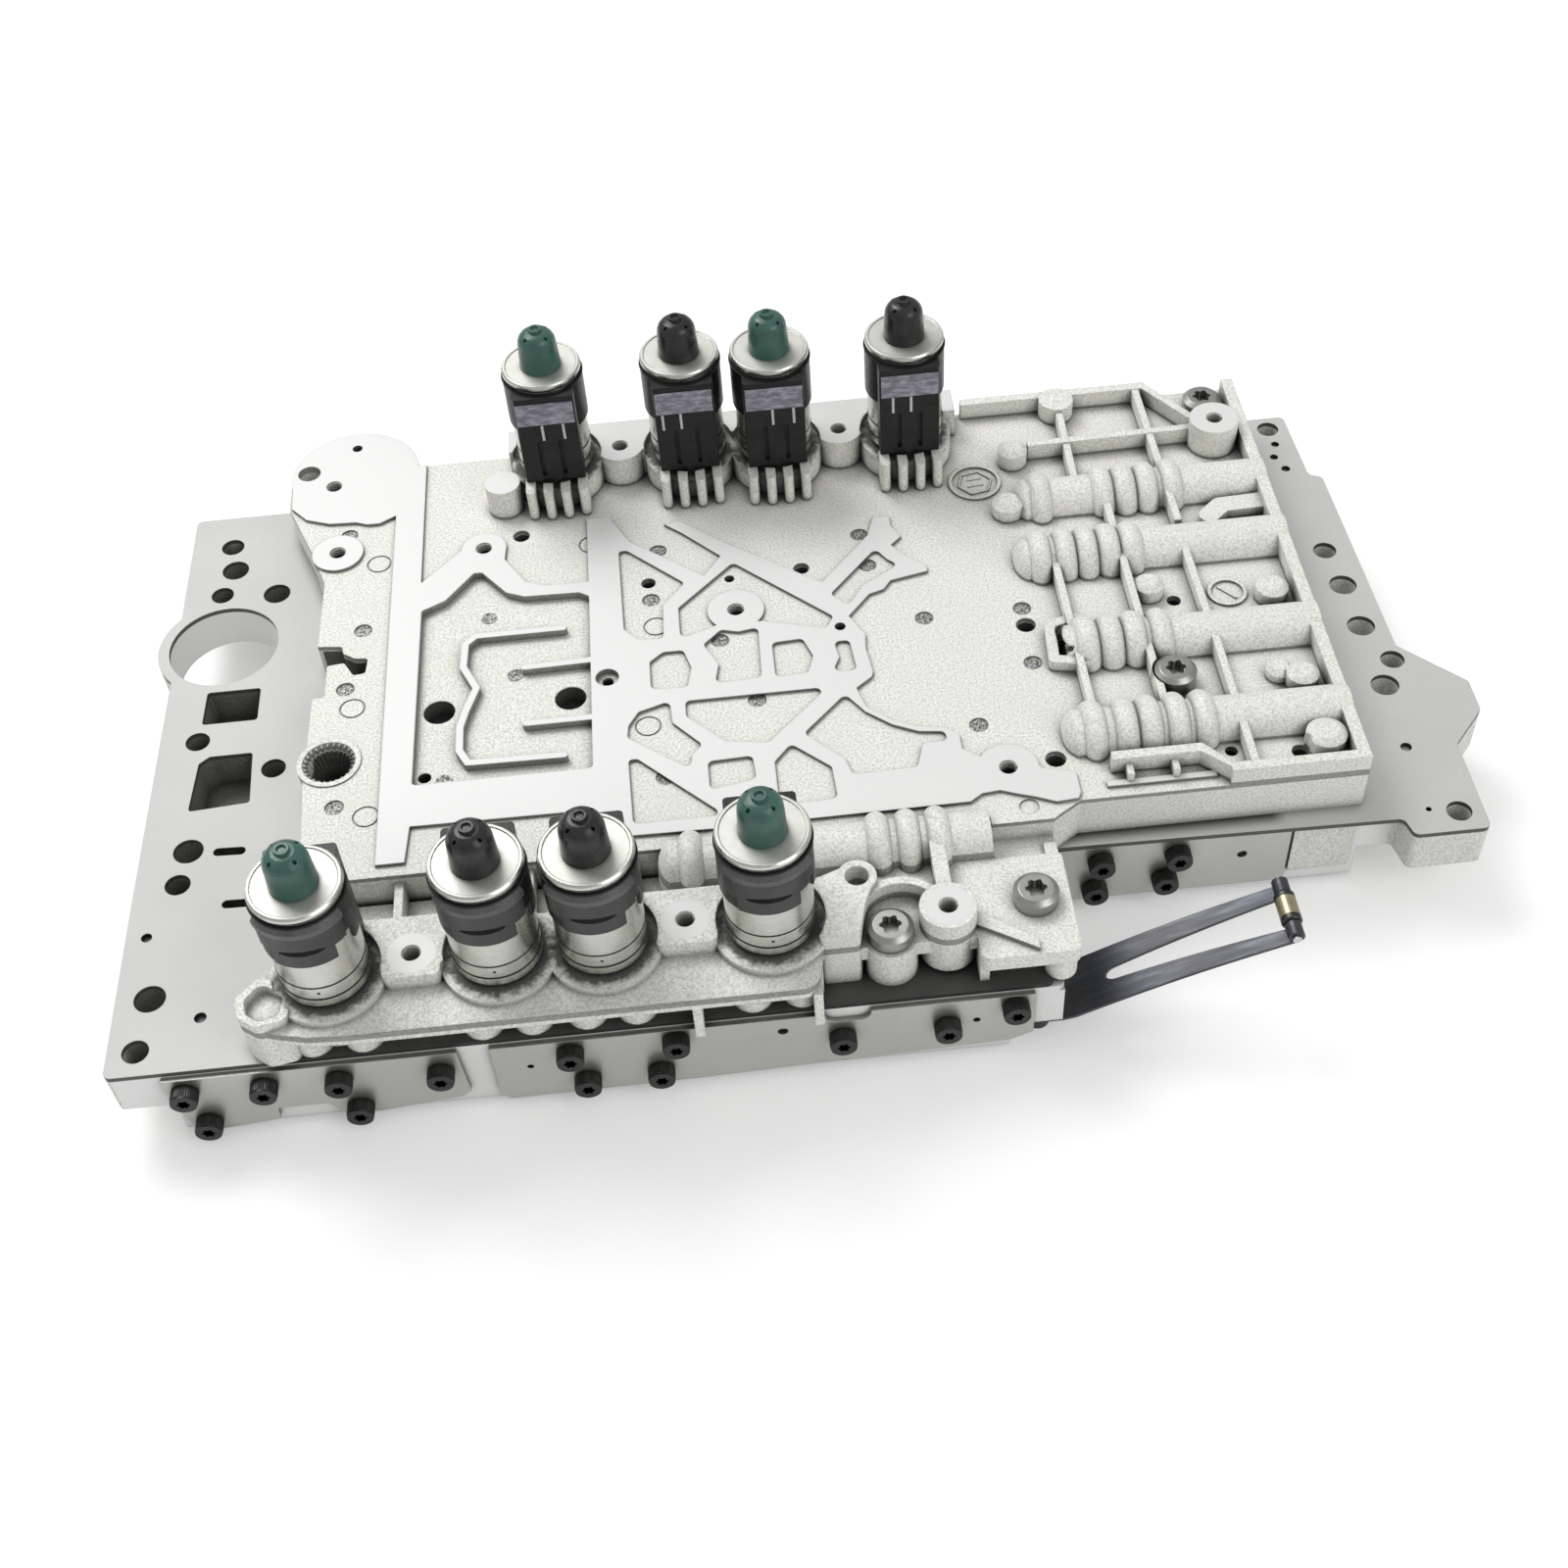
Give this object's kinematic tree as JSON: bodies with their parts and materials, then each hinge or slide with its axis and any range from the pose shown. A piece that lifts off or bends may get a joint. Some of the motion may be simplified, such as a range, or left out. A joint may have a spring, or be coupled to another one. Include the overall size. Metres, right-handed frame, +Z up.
{
  "type": "transmission valve body",
  "caption": "Hydraulic valve body of an automatic gearbox: two aluminium castings on a separator plate, plug-in solenoids, spool valves, covers and a forked detent spring.",
  "frame": {"origin": "under the middle of the assembly's box, on the plane of the lower casting's feet", "axes": "+X along the length towards the detent spring's end, +Y from the front covers to the back row of solenoids, +Z up, out of the upper casting"},
  "size_m": [0.3878, 0.2405, 0.1007],
  "materials": {
    "cast_aluminium": "sand-grained die casting with milled faces",
    "plate_steel": "smooth rolled sheet",
    "cover_steel": "satin sheet, warm grey",
    "black_screw_steel": "black oxide",
    "dark_screw_steel": "dark zinc",
    "solenoid_steel": "bright nickel plate",
    "black_plastic": "glass-filled moulding",
    "black_cap_plastic": "smooth moulding",
    "green_plastic": "smooth dark sea-green moulding",
    "o_ring_rubber": "smooth",
    "spring_steel": "blued strip",
    "roller_brass": "dull brass",
    "valve_aluminium": "hard anodised and ground",
    "bright_steel": "ground"
  },
  "bodies": {
    "housing": {"lower_housing": "cast_aluminium", "separator_plate": "plate_steel", "upper_housing": "cast_aluminium", "front_left_cover": "cover_steel", "front_middle_cover": "cover_steel", "front_right_cover": "cover_steel", "cover_screws": "black_screw_steel", "housing_screws": "dark_screw_steel", "solenoid_o_rings": "o_ring_rubber", "detent_spring": "spring_steel", "detent_screws": "black_screw_steel", "bore_plugs": "valve_aluminium", "retaining_pins": "bright_steel", "check_balls": "bright_steel", "dowel_pins": "bright_steel", "solenoid_1_can": "solenoid_steel", "solenoid_1_connector": "black_plastic", "solenoid_1_cap": "green_plastic", "solenoid_2_can": "solenoid_steel", "solenoid_2_connector": "black_plastic", "solenoid_2_cap": "black_cap_plastic", "solenoid_3_can": "solenoid_steel", "solenoid_3_connector": "black_plastic", "solenoid_3_cap": "black_cap_plastic", "solenoid_4_can": "solenoid_steel", "solenoid_4_connector": "black_plastic", "solenoid_4_cap": "green_plastic", "solenoid_5_can": "solenoid_steel", "solenoid_5_connector": "black_plastic", "solenoid_5_cap": "green_plastic", "solenoid_6_can": "solenoid_steel", "solenoid_6_connector": "black_plastic", "solenoid_6_cap": "black_cap_plastic", "solenoid_7_can": "solenoid_steel", "solenoid_7_connector": "black_plastic", "solenoid_7_cap": "green_plastic", "solenoid_8_can": "solenoid_steel", "solenoid_8_connector": "black_plastic", "solenoid_8_cap": "black_cap_plastic", "upper_spring_1": "bright_steel", "upper_spring_2": "bright_steel", "upper_spring_3": "bright_steel", "upper_spring_4": "bright_steel", "upper_spring_5": "bright_steel", "lower_spring_1": "bright_steel", "lower_spring_2": "bright_steel", "lower_spring_3": "bright_steel", "lower_spring_4": "bright_steel"},
    "upper_spool_1_body": {"upper_spool_1": "valve_aluminium"},
    "upper_spool_2_body": {"upper_spool_2": "valve_aluminium"},
    "upper_spool_3_body": {"upper_spool_3": "valve_aluminium"},
    "upper_spool_4_body": {"upper_spool_4": "valve_aluminium"},
    "upper_spool_5_body": {"upper_spool_5": "valve_aluminium"},
    "lower_spool_1_body": {"lower_spool_1": "valve_aluminium"},
    "lower_spool_2_body": {"lower_spool_2": "valve_aluminium"},
    "lower_spool_3_body": {"lower_spool_3": "valve_aluminium"},
    "lower_spool_4_body": {"lower_spool_4": "valve_aluminium"},
    "manual_valve_body": {"manual_valve": "bright_steel"},
    "detent_tip": {"detent_pin": "dark_screw_steel"},
    "detent_roller_body": {"detent_roller": "roller_brass"}
  },
  "joints": [
    {"name": "upper_spool_1_slide", "type": "slide", "parent": "housing", "child": "upper_spool_1_body", "axis": [1, 0, 0], "range_m": [0, 0.006], "stiffness_N_per_m": 900, "springref_m": -0.004, "deforming": ["upper_spring_1"]},
    {"name": "upper_spool_2_slide", "type": "slide", "parent": "housing", "child": "upper_spool_2_body", "axis": [1, 0, 0], "range_m": [0, 0.006], "stiffness_N_per_m": 900, "springref_m": -0.004, "deforming": ["upper_spring_2"]},
    {"name": "upper_spool_3_slide", "type": "slide", "parent": "housing", "child": "upper_spool_3_body", "axis": [1, 0, 0], "range_m": [0, 0.006], "stiffness_N_per_m": 900, "springref_m": -0.004, "deforming": ["upper_spring_3"]},
    {"name": "upper_spool_4_slide", "type": "slide", "parent": "housing", "child": "upper_spool_4_body", "axis": [1, 0, 0], "range_m": [0, 0.006], "stiffness_N_per_m": 900, "springref_m": -0.004, "deforming": ["upper_spring_4"]},
    {"name": "upper_spool_5_slide", "type": "slide", "parent": "housing", "child": "upper_spool_5_body", "axis": [1, 0, 0], "range_m": [0, 0.006], "stiffness_N_per_m": 900, "springref_m": -0.004, "deforming": ["upper_spring_5"]},
    {"name": "lower_spool_1_slide", "type": "slide", "parent": "housing", "child": "lower_spool_1_body", "axis": [0, -1, 0], "range_m": [0, 0.005], "stiffness_N_per_m": 900, "springref_m": -0.003, "deforming": ["lower_spring_1"]},
    {"name": "lower_spool_2_slide", "type": "slide", "parent": "housing", "child": "lower_spool_2_body", "axis": [0, -1, 0], "range_m": [0, 0.005], "stiffness_N_per_m": 900, "springref_m": -0.003, "deforming": ["lower_spring_2"]},
    {"name": "lower_spool_3_slide", "type": "slide", "parent": "housing", "child": "lower_spool_3_body", "axis": [0, -1, 0], "range_m": [0, 0.005], "stiffness_N_per_m": 900, "springref_m": -0.003, "deforming": ["lower_spring_3"]},
    {"name": "lower_spool_4_slide", "type": "slide", "parent": "housing", "child": "lower_spool_4_body", "axis": [0, -1, 0], "range_m": [0, 0.005], "stiffness_N_per_m": 900, "springref_m": -0.003, "deforming": ["lower_spring_4"]},
    {"name": "manual_valve_slide", "type": "slide", "parent": "housing", "child": "manual_valve_body", "axis": [1, 0, 0], "range_m": [-0.012, 0.012]},
    {"name": "detent_flex", "type": "hinge", "parent": "housing", "child": "detent_tip", "pos_m": [0.06195, -0.10595, 0.011], "axis": [0, 1, 0], "range_deg": [0, 4], "stiffness_Nm_per_rad": 40, "deforming": ["detent_spring"]},
    {"name": "detent_roller_spin", "type": "hinge", "parent": "detent_tip", "child": "detent_roller_body", "pos_m": [0.11901, -0.10595, 0.03772], "axis": [0, 1, 0], "continuous": true}
  ]
}
